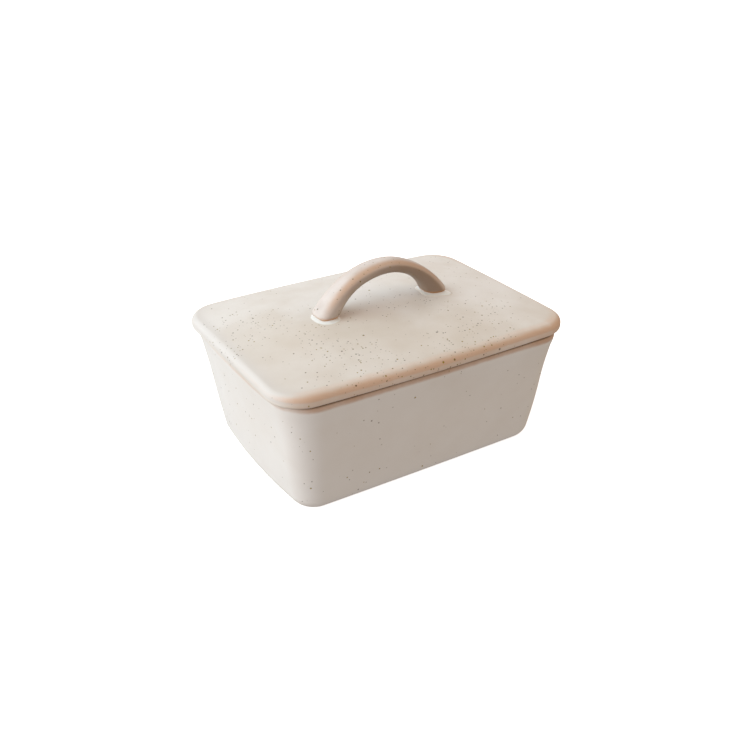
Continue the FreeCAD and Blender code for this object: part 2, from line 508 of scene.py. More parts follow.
@dataclass(frozen=True)
class Clay:
    """The fired clay where no glaze covers it.

    Attributes:
        light: its lighter colour.
        dark: its darker colour, in the grain.
        grain: the width of its grain, in millimetres.
    """

    light: Colour = (0.56, 0.40, 0.27, 1.0)
    dark: Colour = (0.40, 0.27, 0.17, 1.0)
    grain: float = 0.9

    def colour(self, g: Graph) -> bpy.types.NodeSocket:
        """The clay's colour in a graph.

        Args:
            g: the graph.

        Returns:
            The colour.
        """
        coarse = g.noise(9.0, 3.0, 0.6, 0.31)
        fine = g.noise(self.grain, 2.0, 0.6, 0.12)
        share = g.spread(g.math("MULTIPLY_ADD", fine, 0.45, g.math("MULTIPLY", coarse, 0.55)),
                         0.30, 0.70)
        return g.mix(share, self.dark, self.light)

    def material(self) -> bpy.types.Material:
        """Bare, matt clay.

        Returns:
            The material.
        """
        g = Graph(Slot.BARE.value)
        g.set("Base Color", self.colour(g))
        g.set("Roughness", g.spread(g.noise(self.grain, 2.0), 0.3, 0.7, 0.78, 0.92))
        g.set("Specular IOR Level", 0.3)
        g.bump(g.noise(self.grain * 0.6, 3.0, 0.6), 0.12, 0.7)
        return g.material


@dataclass(frozen=True)
class Glaze:
    """A satin cream glaze over iron-speckled clay, breaking tan where it is thin.

    Attributes:
        name: the material's name.
        full: its colour where it lies thick.
        lean_and_shade: its colour where it lies a little thinner; the lid's near front leans to it,
            partly as painted shade.
        shade: its painted shade colour, where the mesh's lean_and_shade value is full.
        tan: its colour over edges.
        line: its colour in creases, where the lid meets the rim and round the handle's feet: thin
            brown glaze darkened with painted shade.
        tan_share: how strongly the edges turn tan.
        speck_dark: the darkest iron speck.
        speck_olive: the specks that melted into the glaze.
        busy: the share of speck cells that are filled where they are dense.
        quiet: the share where they are sparse.
        front_specks_and_shade: 1 makes the specks gather towards -Y and darkens the glaze there,
            partly thinner glaze and partly painted shade; 0 leaves both even.
        rough: its middle roughness.
        cloud: the width of its broad clouds, in millimetres.
        streak: the width of its finer ones.
        clay: what shows where it is bare.
    """

    name: str
    full: Colour
    lean_and_shade: Colour
    # Painted shade colour; the lid uses it on its lit -X shoulder.
    shade: Colour = (0.645, 0.605, 0.56, 1.0)
    tan: Colour = (0.61, 0.375, 0.23, 1.0)
    # The brown of creases, darkened with painted shade.
    line: Colour = (0.15, 0.095, 0.06, 1.0)
    tan_share: float = 0.82
    speck_dark: Colour = (0.085, 0.05, 0.01, 1.0)
    speck_olive: Colour = (0.33, 0.235, 0.03, 1.0)
    busy: float = 0.5
    quiet: float = 0.05
    front_specks_and_shade: float = 0.0
    rough: float = 0.52
    cloud: float = 46.0
    streak: float = 11.0
    clay: Clay = field(default_factory=Clay)

    def front(self, g: Graph) -> bpy.types.NodeSocket:
        """From 0 at the far right of the lid to 1 at its near left."""
        slant = g.math("MULTIPLY_ADD", g.axis("X"), 0.35, g.axis("Y"))
        return g.math("MULTIPLY", g.spread(slant, 0.016, -0.020),
                      g.spread(g.axis("X"), 0.020, 0.060, 1.0, 0.55))

    def speck_share(self, g: Graph) -> bpy.types.NodeSocket:
        """How many of the speck cells are filled, over the surface.

        Args:
            g: the graph.

        Returns:
            The share, from quiet to busy.
        """
        drift = g.noise(30.0, 1.0, 0.5, 0.77)
        lean_in = g.math("MULTIPLY_ADD", self.front(g), self.front_specks_and_shade, 1.0 - self.front_specks_and_shade)
        gathered = g.math("MULTIPLY", g.spread(drift, 0.36, 0.62), lean_in)
        return g.math("MULTIPLY_ADD", gathered, self.busy - self.quiet, self.quiet)

    def coat(self, g: Graph, thin: bpy.types.NodeSocket) -> bpy.types.NodeSocket:
        """The glaze's colour without its specks: clouds, painted shade, tan edges and creases darkened
        with painted shade.

        Args:
            g: the graph.
            thin: from 0 to 1, how strongly it has broken tan.

        Returns:
            The colour.
        """
        cloud = g.noise(self.cloud, 3.0, 0.55, 0.21)
        streak = g.noise(self.streak, 3.0, 0.55, 0.43)
        depth = g.math("MULTIPLY_ADD", streak, 0.3, g.math("MULTIPLY", cloud, 0.7))
        # Darker towards the near front: partly thinner glaze, partly painted shade.
        depth = g.math("MULTIPLY_ADD", self.front(g), 0.26 * self.front_specks_and_shade, depth)
        body = g.mix(g.spread(depth, 0.30, 0.95), self.full, self.lean_and_shade)
        # Painted shade: a value that the mesh carries darkens the lid's lit -X shoulder and the
        # handle's sides.
        body = g.mix(g.attribute("lean_and_shade"), body, self.shade)
        edged = g.mix(g.math("MULTIPLY", thin, self.tan_share), body, self.tan)
        # Creases where parts meet: thin brown glaze darkened with painted shade.
        return g.mix(g.math("MULTIPLY", g.attribute("crease"), 0.9), edged, self.line)

    def broken(self, g: Graph) -> bpy.types.NodeSocket:
        """How strongly the glaze has broken tan, ragged where the mesh's thin value is above 0.

        Args:
            g: the graph.

        Returns:
            A value from 0 to 1.
        """
        tan_kept = g.attribute("thin")
        small = g.math("SUBTRACT", g.noise(6.0, 3.0, 0.6, 0.9), 0.5)
        large = g.math("SUBTRACT", g.noise(36.0, 1.0, 0.5, 0.5), 0.5)
        uneven = g.math("MULTIPLY_ADD", small, 0.35, g.math("MULTIPLY", large, 0.55))
        ragged = g.math("MULTIPLY_ADD", uneven, g.spread(tan_kept, 0.0, 0.3), tan_kept)
        return g.spread(ragged, 0.12, 1.0)

    def iron(self, g: Graph,
             thin: bpy.types.NodeSocket) -> tuple[bpy.types.NodeSocket, bpy.types.NodeSocket]:
        """The iron specks: fine ones, coarse ones, and those that show where the glaze is thin.

        Args:
            g: the graph.
            thin: from 0 to 1, how strongly the glaze has broken tan.

        Returns:
            How strongly the specks cover the glaze, and their colour.
        """
        share = self.speck_share(g)
        kinds = ((1.35, 0.23, 0.44, g.math("MULTIPLY", share, 0.6), 0.11),
                 (3.2, 0.38, 0.66, g.math("MULTIPLY", share, 0.3), 0.57),
                 (1.9, 0.2, 0.5, g.math("MULTIPLY", thin, 0.10), 0.83))
        mask, tint = 0.0, 0.0
        for kind in kinds:
            dots, dot_tint = g.specks(*kind)
            mask = g.math("MAXIMUM", mask, dots)
            tint = g.math("MAXIMUM", tint, g.math("MULTIPLY", dots, dot_tint))
        ink = g.mix(g.spread(tint, 0.35, 0.75), self.speck_dark, self.speck_olive)
        return g.math("MULTIPLY", mask, g.spread(tint, 0.05, 0.5, 0.75, 1.0)), ink

    def material(self) -> bpy.types.Material:
        """The glaze's material, with bare clay where the mesh's bare value is full.

        Returns:
            The material.
        """
        g = Graph(self.name)
        thin = self.broken(g)
        cover, ink = self.iron(g, thin)
        speckled = g.mix(cover, self.coat(g, thin), ink)
        bare = g.attribute("bare")
        g.set("Base Color", g.mix(bare, speckled, self.clay.colour(g)))
        satin = g.spread(g.noise(17.0, 3.0, 0.6, 0.05), 0.3, 0.7, self.rough - 0.06, self.rough + 0.08)
        glazed = g.math("MULTIPLY_ADD", cover, 0.2, satin)
        g.set("Roughness", g.math("MULTIPLY_ADD", bare, 0.42, glazed))
        g.set("Specular IOR Level", 0.5)
        peel = g.math("MULTIPLY_ADD", g.noise(2.6, 2.0, 0.5, 0.3), 0.6,
                      g.math("MULTIPLY", g.noise(14.0, 2.0, 0.5, 0.6), 1.6))
        sunk = g.math("MULTIPLY_ADD", cover, -0.35, peel)
        grain = g.math("MULTIPLY", g.noise(0.7, 2.0, 0.6), bare)
        g.bump(g.math("ADD", sunk, g.math("MULTIPLY", grain, 1.6)), 0.10, 0.55)
        return g.material


@dataclass(frozen=True)
class Pool:
    """Glossy white glaze where it has run together.

    Attributes:
        thick: its colour.
        edge: its colour where it thins out.
    """

    thick: Colour = (0.82, 0.83, 0.79, 1.0)
    edge: Colour = (0.78, 0.72, 0.63, 1.0)

    def material(self) -> bpy.types.Material:
        """The pooled glaze's material.

        Returns:
            The material.
        """
        g = Graph(Slot.POOLED.value)
        ragged = g.math("MULTIPLY_ADD", g.math("SUBTRACT", g.noise(2.5, 2.0), 0.5), 0.5,
                        g.attribute("thin"))
        g.set("Base Color", g.mix(g.spread(ragged, 0.3, 0.9), self.thick, self.edge))
        g.set("Roughness", g.spread(g.noise(3.0, 2.0), 0.3, 0.7, 0.10, 0.2))
        g.set("Specular IOR Level", 0.55)
        g.bump(g.noise(1.8, 2.0), 0.08, 0.4)
        return g.material


# ---------------------------------------------------------------- crock


def dress(piece: bpy.types.Object, finish: bpy.types.Material, slot: Slot, body: Body,
          *nodes: str) -> None:
    """Gives a piece its finish, its body and the frame nodes that it stands for.

    Args:
        piece: the piece.
        finish: its material.
        slot: the record's slot; not used.
        body: the body that carries it.
        nodes: the frame nodes that it replaces.
    """
    piece.data.materials.append(finish)
    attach(piece, body.value)
    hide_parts(*nodes)
    LOG.info("%s: %d faces on %s", piece.name, len(piece.data.polygons), body.value)


@dataclass
class Crock:
    """The open crock, sizes in millimetres.

    Attributes:
        end_draft: how far each end wall leans in at the foot.
        side_draft: how far each side wall leans in at the foot.
        rim_corner: plan radius of the corners at the rim.
        foot_corner: plan radius of the corners at the foot.
        end_over: how far the lid reaches past the rim at each end.
        side_over: how far the lid reaches past the rim at each side.
        rim_bows: bow of the sides and ends at the rim.
        foot_bows: bow of the sides and ends at the foot.
        wall: wall thickness.
        floor: floor thickness.
        foot_edge: radius of the bottom edge.
        floor_edge: radius between the wall and the floor inside.
        rim_outer: radius of the rim's outer edge.
        rim_inner: radius of the rim's inner edge.
        ring_width: width of the foot ring.
        recess: depth of the hollow inside the foot ring.
        corner_loss: how much tighter the inner corners are.
        swell: how far the hand-smoothed walls swell and draw in.
        waver: how uneven they are besides.
        rim_band: height of the band of thin glaze under the rim.
        rim_thin: how thin the glaze is there.
        rim_kept: the least of it that any side keeps.
        hollow_edge: radius of the hollow's edge inside the foot ring.
    """

    end_draft: float = 8.7
    side_draft: float = 8.9
    rim_corner: float = 16.8
    foot_corner: float = 11.5
    end_over: float = 1.8
    side_over: float = 1.6
    rim_bows: tuple[float, float] = (0.3, 1.2)
    foot_bows: tuple[float, float] = (0.3, 1.9)
    wall: float = 5.5
    floor: float = 6.5
    foot_edge: float = 7.0
    floor_edge: float = 9.0
    rim_outer: float = 2.2
    rim_inner: float = 1.1
    ring_width: float = 6.0
    recess: float = 1.2
    corner_loss: float = 3.5
    swell: float = 0.42
    waver: float = 0.2
    rim_band: float = 2.2
    rim_thin: float = 0.85
    rim_kept: float = 0.62
    hollow_edge: float = 0.8
    rim: Outline = field(init=False)
    foot: Outline = field(init=False)
    height: float = field(init=False)

    def __post_init__(self) -> None:
        """Reads the rim's size and height from the frame's seat and lid."""
        low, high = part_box("lid_plate")
        self.height = low[2] / MM
        length = (high[0] - low[0]) / MM - 2 * self.end_over
        width = (high[1] - low[1]) / MM - 2 * self.side_over
        self.rim = Outline(length, width, self.rim_corner, *self.rim_bows)
        self.foot = Outline(length - 2 * self.end_draft, width - 2 * self.side_draft,
                            self.foot_corner, *self.foot_bows)

    def outer(self, z: float, gap: float = 0.0, thin: float = 0.0, bare: float = 0.0) -> Ring:
        """A ring on the outside, with the hand-made swell of the wall.

        Args:
            z: its height.
            gap: how far inside the wall's face.
            thin: glaze thinness.
            bare: bare clay.

        Returns:
            The ring.
        """
        ring = self.foot.blended(self.rim, z / self.height).ring(z, gap, thin, bare)
        share = z / self.height
        swell = hump(share, 0.3, 0.28) - hump(share, 0.7, 0.24) + 1.1 * hump(share, 0.94, 0.07)
        calm = ease(share / 0.2) * ease((1 - share) / 0.1)
        for p in ring.points:
            facing = Vector((p.x / self.rim.length, p.y / self.rim.width, 0)).normalized()
            side = 0.45 + 0.55 * max(facing.x, 0.0)
            p += facing * (self.swell * side * swell + self.waver * calm * unevenness(p, 42.0, 3.1))
        return ring

    def inner(self, z: float, gap: float = 0.0, thin: float = 0.0, bare: float = 0.0) -> Ring:
        """A ring on the inside; the values are those of Outline.ring."""
        line = self.foot.blended(self.rim, z / self.height).inset(self.wall, self.corner_loss)
        return line.ring(z, gap, thin, bare)

    def banded(self, ring: Ring) -> Ring:
        """A ring whose thin glaze shows on every side, the -X end too."""
        ring.tan_kept = [max(kept, self.rim_kept) for kept in ring.tan_kept]
        return ring

    def underside(self) -> list[Ring]:
        """The hollow underneath, the foot ring and the rounded bottom edge.

        Returns:
            The rings from the middle outwards and up.
        """
        lip = self.foot_edge + self.ring_width
        soft = self.hollow_edge
        rings = [self.outer(self.recess, lip + soft).shrunk(s / 8, lambda x, y: self.recess)
                 for s in range(8)]
        for sine, cosine in arc_steps(4):
            rings.append(self.outer(self.recess * cosine, lip + soft * (1 - sine), 0.2, sine))
        for step in range(1, 5):
            rings.append(self.outer(0.0, lip - self.ring_width * step / 4, 0.0, 1.0))
        for sine, cosine in arc_steps(12)[1:]:
            low = self.foot_edge * (1 - cosine)
            rings.append(self.outer(low, self.foot_edge * (1 - sine), 0.45 * cosine,
                                    ease(1 - sine * 3.2)))
        return rings

    def outside(self) -> list[Ring]:
        """The outer wall up to the rim's rounded edge.

        Returns:
            The rings from the bottom edge up.
        """
        top = self.height - self.rim_outer
        steps = 60
        rings = []
        for step in range(1, steps):
            z = self.foot_edge + (top - self.foot_edge) * step / steps
            near = ease(1 - (top - z) / self.rim_band)
            rings.append(self.banded(self.outer(z, 0.0, self.rim_thin * near)))
        return rings

    def rim_skin(self) -> list[Ring]:
        """The rim: thin glaze on its edges and a bare land between them.

        Returns:
            The rings from the outer wall over to the inner wall.
        """
        rings = []
        for sine, cosine in arc_steps(9):
            ring = self.outer(self.height - self.rim_outer * (1 - sine),
                              self.rim_outer * (1 - cosine), between((self.rim_thin, 1.0), sine),
                              ease(sine * 3 - 2))
            # The line under the lid's edge: thin glaze darkened with painted shade.
            ring.crease = ease((sine - 0.45) / 0.4)
            rings.append(self.banded(ring))
        outer_land = rings[-1]
        inner_land = self.inner(self.height, -self.rim_inner, 1.0, 1.0)
        rings += [outer_land.mixed(inner_land, s / 3) for s in range(1, 3)]
        for sine, cosine in arc_steps(5):
            rings.append(self.inner(self.height - self.rim_inner * (1 - cosine),
                                    -self.rim_inner * (1 - sine), 0.9 - 0.5 * sine,
                                    ease(1 - sine * 2)))
        return rings

    def inside(self) -> list[Ring]:
        """The inner wall, its rounded foot and the floor.

        Returns:
            The rings from the rim down and in to the middle.
        """
        top = self.height - self.rim_inner
        bottom = self.floor + self.floor_edge
        steps = 24
        rings = []
        for step in range(1, steps):
            z = top + (bottom - top) * step / steps
            rings.append(self.inner(z, 0.0, 0.3 * ease(1 - (top - z) / 4)))
        for sine, cosine in arc_steps(10):
            low = bottom - self.floor_edge * sine
            rings.append(self.inner(low, self.floor_edge * (1 - cosine)))
        edge = rings[-1]
        rings += [edge.shrunk(1 - s / 12, lambda x, y: self.floor) for s in range(1, 13)]
        return rings

    def build(self, glaze: Glaze) -> bpy.types.Object:
        """Builds and dresses the crock.

        Args:
            glaze: its glaze.

        Returns:
            The piece.
        """
        rings = self.underside() + self.outside() + self.rim_skin() + self.inside()
        piece = skin("crock_shell", rings)
        dress(piece, glaze.material(), Slot.CROCK_GLAZE, Body.CROCK, "crock_body")
        return piece


# ---------------------------------------------------------------- lid


@dataclass
class Lid:
    """The lid slab and its locating flange, sizes in millimetres.

    Attributes:
        corner: plan radius of its corners.
        bows: bow of its sides and ends.
        thickness: height of its edge.
        crown: how much higher the middle is than the edge.
        shoulder: radius of its top edge.
        under_edge: radius of its bottom edge.
        flange_gap: from the crock's wall face to the flange's outer face, plus the wall.
        flange_thickness: the flange's own thickness.
        flange_edge: radius of the flange's lower edges.
        hollow_step: least depth of the hollow under the lid.
        band: how far in from the shoulder the thin glaze reaches.
        waver: how uneven the hand-smoothed top is.
        left_shade: the glaze's painted shade on the lit -X shoulder, and on the top beside it.
    """

    crock: Crock
    corner: float = 17.0
    bows: tuple[float, float] = (1.4, 0.15)
    thickness: float = 5.8
    crown: float = 6.0
    shoulder: float = 3.1
    under_edge: float = 1.7
    flange_gap: float = 7.0
    flange_thickness: float = 4.5
    flange_edge: float = 1.3
    hollow_step: float = 0.8
    band: float = 4.6
    waver: float = 0.22
    left_shade: tuple[float, float] = (0.9, 0.45)
    base: float = field(init=False)
    plan: Outline = field(init=False)

    def __post_init__(self) -> None:
        """Reads the slab's size from the frame."""
        low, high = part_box("lid_plate")
        self.base = low[2] / MM
        self.plan = Outline((high[0] - low[0]) / MM, (high[1] - low[1]) / MM, self.corner,
                            *self.bows)

    def pillow(self, x: float, y: float, length: float, width: float) -> float:
        """The crown's shape over a rectangle: 1 in the middle, falling to 0 on the sides."""
        return (1 - abs(2 * x / length) ** 3) * (1 - (2 * y / width) ** 2)

    def top_at(self, x: float, y: float) -> float:
        """Height of the lid's top at a point in plan."""
        lift = self.crown * self.pillow(x, y, self.plan.length, self.plan.width)
        return self.base + self.thickness + lift

    def shaded(self, ring: Ring, most: float) -> list[float]:
        """Painted shade values for a ring that rise towards the lit -X end, where they reach most."""
        return [most * max(-2 * p.x / self.plan.length, 0.0) ** 6 for p in ring.points]

    def top_skin(self) -> list[Ring]:
        """The shoulder and the crowned top, with the unevenness of a hand-smoothed slab.

        Returns:
            The rings from the shoulder in to the middle.
        """
        rings = []
        r = self.shoulder
        for sine, cosine in arc_steps(12):
            ring = self.plan.ring(0.0, r * (1 - cosine), 0.62 + 0.38 * ease(sine / 0.3))
            for p in ring.points:
                p.z = self.top_at(p.x, p.y) - r * (1 - sine)
            rings.append(ring)
            if sine > 0.6:
                ring.thin = 1 - 0.5 * (sine - 0.6) / 0.4
            # Painted shade on the lit -X shoulder.
            ring.lean_and_shade = self.shaded(ring, self.left_shade[0])
        edge = rings[-1]
        steps = 60
        for step in range(1, steps + 1):
            share = 1 - (step / steps) ** 1.3
            ring = edge.shrunk(share, self.top_at)
            inward = (1 - share) * self.plan.width / 2
            ring.thin = 0.5 * ease(1 - inward / self.band)
            # Painted shade on the top beside the lit -X shoulder.
            ring.lean_and_shade = self.shaded(ring, between(self.left_shade, ease(inward / 4.0)))
            calm = ease(inward / 6.0)
            for p in ring.points:
                p.z += calm * self.waver * unevenness(p, 36.0, 7.3)
            rings.append(ring)
        return rings

    def slab_skin(self) -> list[Ring]:
        """The hollow underneath, the seat and the rounded edge.

        Returns:
            The rings from the middle of the hollow out to the shoulder.
        """
        inner = self.crock.rim.inset(self.flange_gap + self.flange_thickness,
                                     self.crock.corner_loss + 4.0)
        edge = inner.ring(self.base + self.hollow_step)

        def hollow(x: float, y: float) -> float:
            """Height of the hollow's roof."""
            share = max(self.pillow(x, y, inner.length, inner.width), 0.0)
            return self.base + self.hollow_step + (self.crown - self.hollow_step) * share

        rings = [edge.shrunk(s / 20, hollow) for s in range(21)]
        rings.append(inner.ring(self.base, 0.0, 0.4, 0.6))
        outer = self.plan.ring(self.base, self.under_edge, 0.5, 0.0)
        start = rings[-1]
        for s in range(1, 8):
            ring = start.mixed(outer, s / 8)
            ring.thin, ring.bare = 0.6, 1.0 if s < 7 else 0.5
            rings.append(ring)
        for sine, cosine in arc_steps(9):
            ring = self.plan.ring(self.base + self.under_edge * (1 - cosine),
                                  self.under_edge * (1 - sine), 0.45 + 0.17 * sine)
            # The lid's lower edge over the rim: thin glaze darkened with painted shade.
            ring.crease = ease(1 - (sine - 0.1) / 0.3)
            rings.append(ring)
        return rings

    def build_slab(self, glaze: Glaze) -> bpy.types.Object:
        """Builds and dresses the slab.

        Args:
            glaze: its glaze.

        Returns:
            The piece.
        """
        piece = skin("lid_slab", self.slab_skin() + self.top_skin())
        dress(piece, glaze.material(), Slot.LID_GLAZE, Body.LID, "lid_plate")
        return piece

    def build_flange(self, clay: Clay) -> bpy.types.Object:
        """Builds and dresses the locating flange.

        Args:
            clay: its bare clay.

        Returns:
            The piece.
        """
        low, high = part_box("lid_locating_flange")
        bottom, top = low[2] / MM, high[2] / MM
        r = self.flange_edge

        def ring(z: float, depth: float) -> Ring:
            """A ring at a depth into the flange from its outer face."""
            wall = self.crock.foot.blended(self.crock.rim, z / self.crock.height)
            loss = self.crock.corner_loss + 1.0 + 3.0 * depth / self.flange_thickness
            return wall.inset(self.flange_gap + depth, loss).ring(z)

        rings = [ring(top, 0.0), ring((top + bottom) / 2, 0.0)]
        rings += [ring(bottom + r * (1 - s), r * (1 - c)) for s, c in arc_steps(5)]
        rings += [ring(bottom + r * (1 - c), self.flange_thickness - r * (1 - s))
                  for s, c in arc_steps(5)]
        rings += [ring((top + bottom) / 2, self.flange_thickness), ring(top, self.flange_thickness)]
        piece = skin("lid_flange", rings, closed=True)
        dress(piece, clay.material(), Slot.BARE, Body.LID, "lid_locating_flange")
        return piece


# ---------------------------------------------------------------- handle


@dataclass
class Handle:
    """The arched strap and the glaze that pooled round its feet, sizes in millimetres.

    Attributes:
        lid: the lid that it stands on.
        span: foot centre to foot centre.
        rise: its centre line above the feet at mid arch.
        offset: how far along +X its middle sits.
        yaw: its turn about Z, in degrees.
        apex: width and thickness at the top of the arch.
        foot: width and thickness at the feet.
        flare: how late the strap widens towards its feet.
        outer_square: how square the outer half of its section is; 2 is an ellipse.
        inner_square: the same for the inner half.
        toes: how far the inner side of the left and the right foot swells.
        tuck: how far the ends of the feet round in where they meet the lid.
        pool_spread: how far the pooled glaze reaches from a foot.
        pool_height: how far it climbs the leg.
        around: points round a section.
        ridge: the tan ridges' angle from the middle of the outer face, at the apex and at a foot.
        ridge_reach: the angle over which their wear fades, at the apex and at a foot.
        far_kept: how much of the wear the ridge towards +Y keeps.
        sides_from: angle from the middle of the outer face at which the painted shade on the sides
            begins.
        sides_over: angle over which they get their full painted shade.
        waver: how uneven the hand-made strap is.
        tuck_height: how high above the lid the rounding in of the feet reaches.
        toe_height: how high above the lid the toes reach.
        sink: how far the strap goes into the lid.
    """

    lid: Lid
    span: float = 62.8
    rise: float = 19.3
    offset: float = 2.8
    yaw: float = 0.5
    apex: tuple[float, float] = (12.9, 6.6)
    foot: tuple[float, float] = (14.4, 12.0)
    flare: float = 3.5
    outer_square: float = 2.5
    inner_square: float = 2.2
    toes: tuple[float, float] = (1.4, 0.3)
    tuck: float = 1.1
    pool_spread: float = 3.1
    pool_height: float = 1.0
    around: int = 72
    ridge: tuple[float, float] = (40.0, 50.0)
    ridge_reach: tuple[float, float] = (31.0, 26.0)
    far_kept: float = 0.3
    sides_from: float = 46.0
    sides_over: float = 34.0
    waver: float = 0.16
    tuck_height: float = 2.6
    toe_height: float = 7.0
    sink: float = 0.3

    @property
    def radius(self) -> float:
        """Radius of the arch's centre line."""
        return ((self.span / 2) ** 2 + self.rise ** 2) / (2 * self.rise)

    @property
    def half_turn(self) -> float:
        """Angle from the top of the arch to a foot."""
        return math.asin(self.span / 2 / self.radius)

    def section(self, turn: float, grow: float = 0.0) -> Ring:
        """The strap's section where the arch has turned from its top.

        Args:
            turn: the angle turned, negative towards -X.
            grow: how much wider and thicker than the strap.

        Returns:
            The section as a ring, its glaze breaking tan along its two outer ridges and its sides
            darkened with painted shade, most towards +X.
        """
        left = self.lid.top_at(self.offset - self.span / 2, 0.0)
        right = self.lid.top_at(self.offset + self.span / 2, 0.0)
        centre_z = (left + right) / 2 + self.rise - self.radius
        climb = min(abs(turn) / self.half_turn, 1.0)
        share = climb ** self.flare
        width = between((self.apex[0], self.foot[0]), share) + grow
        thick = between((self.apex[1], self.foot[1]), share) + grow
        yaw = math.radians(self.yaw)
        along = Vector((math.cos(yaw), math.sin(yaw), 0.0))
        across = Vector((-math.sin(yaw), math.cos(yaw), 0.0))
        radial = along * math.sin(turn) + Vector((0.0, 0.0, math.cos(turn)))
        middle = Vector((self.offset, 0.0, centre_z)) + radial * self.radius
        points, tan_kept, lean_and_shade = [], [], []
        for k in range(self.around):
            t = 2 * math.pi * (k + 0.5) / self.around
            power = 2 / (self.outer_square if math.sin(t) > 0 else self.inner_square)
            y = math.copysign(abs(math.cos(t)) ** power, math.cos(t)) * width / 2
            r = math.copysign(abs(math.sin(t)) ** power, math.sin(t)) * thick / 2
            points.append(middle + across * y + radial * r)
            away = abs(math.degrees(t) - 90)
            kept = (1.0 if t > math.pi / 2 else self.far_kept) * (1 - 0.8 * climb ** 4)
            off_ridge = (away - between(self.ridge, climb)) / between(self.ridge_reach, climb)
            tan_kept.append(kept * math.exp(-off_ridge ** 2))
            # Painted shade on the strap's sides, growing towards the +X leg.
            side_shade = min(0.87 + 0.62 * turn / self.half_turn, 1.0)
            lean_and_shade.append(ease((away - self.sides_from) / self.sides_over) * max(side_shade, 0.0))
        return Ring(points, 1.0, 0.0, 0.0, tan_kept, lean_and_shade)

    def build_strap(self, glaze: Glaze) -> bpy.types.Object:
        """Builds and dresses the strap, its feet rounded in where they meet the lid.

        Args:
            glaze: its glaze.

        Returns:
            The piece.
        """
        steps = 110
        reach = self.half_turn + 1.2 / self.radius
        rings = []
        for i in range(steps + 1):
            turn = reach * (2 * i / steps - 1)
            ring = self.section(turn)
            middle = sum(ring.points, Vector()) / self.around
            for p in ring.points:
                p += self.waver * (unevenness(p, 13.0, 1.9) - 0.5) * Vector((0.3, 0.8, 0.5))
                ground = self.lid.top_at(p.x, p.y)
                low = max(1 - (p.z - ground) / self.tuck_height, 0.0)
                inward = Vector((middle.x - p.x, middle.y - p.y, 0.0)).normalized()
                inside = math.copysign(middle.x - p.x, turn) if turn else 0.0
                toe = self.toes[0] if turn < 0 else self.toes[1]
                swell = toe * ease(inside / 3.0) * ease(1 - (p.z - ground) / self.toe_height)
                p.x -= math.copysign(swell, turn)
                p += inward * self.tuck * min(low, 1.0) ** 2
                p.z = max(p.z, self.lid.top_at(p.x, p.y) - self.sink)
            rings.append(ring)
        for end in (0, -1):
            middle = sum(rings[end].points, Vector()) / self.around
            cap = Ring([middle.copy() for _ in range(self.around)])
            rings.insert(0 if end == 0 else len(rings), cap)
        piece = skin("handle_strap", rings)
        self.mark_feet(piece)
        dress(piece, glaze.material(), Slot.LID_GLAZE, Body.LID, "lid_handle")
        return piece

    def mark_feet(self, piece: bpy.types.Object) -> None:
        """Darkens a line where the strap meets the lid, widest towards -Y: the glaze's orange break
        there, with painted shade.

        Args:
            piece: the strap.
        """
        bm = bmesh.new()
        bm.from_mesh(piece.data)
        crease = bm.verts.layers.float["crease"]
        for vert in bm.verts:
            above = vert.co.z / MM - self.lid.top_at(vert.co.x / MM, vert.co.y / MM)
            nearest = ease(0.5 - vert.co.y / MM / self.foot[0])
            vert[crease] = (1 - ease((above - 0.8) / 1.5)) * (0.35 + 0.65 * nearest)
        bm.to_mesh(piece.data)
        bm.free()

    def build_pool(self, side: int, name: str, pool: Pool, node: str) -> bpy.types.Object:
        """Builds and dresses the glaze pooled round one foot.

        Args:
            side: -1 for the foot towards -X, 1 for the other.
            name: the piece's name.
            pool: its finish.
            node: the frame node that it stands for.

        Returns:
            The piece.
        """
        near = self.section(side * self.half_turn, -2 * self.tuck - 0.6)
        far = self.section(side * self.half_turn, 2 * self.pool_spread)
        profile = ((0.0, 0.9, 0.5), (0.12, 1.0, 0.1), (0.28, 0.72, 0.0), (0.48, 0.46, 0.0),
                   (0.68, 0.26, 0.1), (0.86, 0.1, 0.5), (1.0, 0.0, 1.0), (1.0, -0.35, 1.0),
                   (0.5, -0.35, 1.0), (0.0, -0.35, 1.0))
        rings = []
        for share, lift, thin in profile:
            points = []
            for base, edge in zip(near.points, far.points):
                ragged = 0.7 + 0.6 * unevenness(edge, 8.0, 5.2 + side)
                p = base.lerp(edge, share * ragged)
                p.z = self.lid.top_at(p.x, p.y) + 0.02 + lift * self.pool_height
                points.append(p)
            rings.append(Ring(points, thin))
        piece = skin(name, rings, closed=True)
        dress(piece, pool.material(), Slot.POOLED, Body.LID, node)
        return piece


# ---------------------------------------------------------------- stage


@dataclass(frozen=True)
class Lamp:
    """A soft square lamp that faces the crock.

    Attributes:
        name: its name.
        place: where it stands, in metres.
        size: its side, in metres.
        watts: its power.
        colour: its colour.
    """

    name: str
    place: tuple[float, float, float]
    size: float
    watts: float
    colour: tuple[float, float, float]

    def build(self) -> None:
        """Adds the lamp, turned towards the middle of the crock."""
        data = bpy.data.lights.new(self.name, "AREA")
        data.size = self.size
        data.energy = self.watts
        data.color = self.colour
        lamp = bpy.data.objects.new(self.name, data)
        lamp.location = self.place
        facing = Vector(self.place) - Vector((0, 0, 0.05))
        lamp.rotation_euler = facing.to_track_quat("Z", "Y").to_euler()
        bpy.context.scene.collection.objects.link(lamp)


